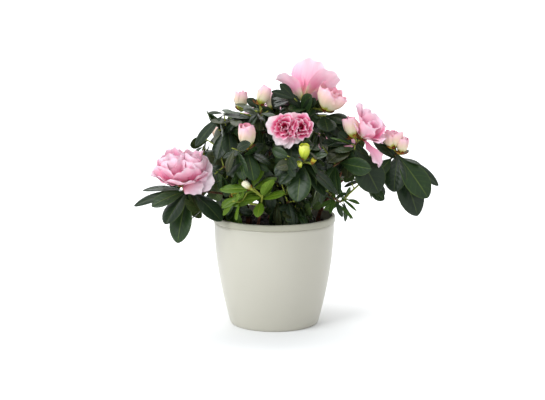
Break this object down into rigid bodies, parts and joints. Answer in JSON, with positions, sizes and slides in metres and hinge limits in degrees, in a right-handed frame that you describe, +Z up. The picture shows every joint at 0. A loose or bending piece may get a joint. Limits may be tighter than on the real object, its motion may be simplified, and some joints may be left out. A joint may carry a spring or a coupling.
{
  "type": "azalea shrub in pot",
  "caption": "Flowering azalea shrub standing in a round tapered pot filled with soil: stems, boughs and masses of foliage with double pink blossoms and buds.",
  "frame": {"origin": "centre of the pot's flat underside", "axes": "+Z up along the pot's axis, -Y towards the side seen from the front, +X to that side's right"},
  "size_m": [0.3104, 0.2161, 0.279],
  "materials": {
    "pot": "satin",
    "soil": "matte",
    "bark": "matte",
    "foliage": "satin",
    "young_foliage": "satin"
  },
  "bodies": {
    "root": {"pot": "pot", "soil": "soil", "stem_left": "bark", "stem_right": "bark", "stem_far_right": "bark", "stem_front": "bark", "stem_back": "bark", "bough_left_bloom": "bark", "bough_left_top": "bark", "bough_front_left": "bark", "bough_left_low": "bark", "bough_top": "bark", "bough_centre": "bark", "bough_front_low": "bark", "bough_young_shoot": "bark", "bough_right_bloom": "bark", "bough_right_buds": "bark", "bough_low_right": "bark", "bough_back_left": "bark", "bough_back_top": "bark", "bough_back_bloom": "bark", "bough_back_right": "bark", "bough_back_low_left": "bark", "bough_back_low_right": "bark", "foliage_left_bloom": "foliage", "foliage_left_top": "foliage", "foliage_front_left": "foliage", "foliage_left_low": "foliage", "foliage_top": "foliage", "foliage_centre": "foliage", "foliage_front_low": "foliage", "foliage_young_shoot": "young_foliage", "foliage_right_bloom": "foliage", "foliage_right_buds": "foliage", "foliage_low_right": "foliage", "foliage_back_left": "foliage", "foliage_back_top": "foliage", "foliage_back_bloom": "foliage", "foliage_back_right": "foliage", "foliage_back_low_left": "foliage", "foliage_back_low_right": "foliage"}
  },
  "joints": []
}
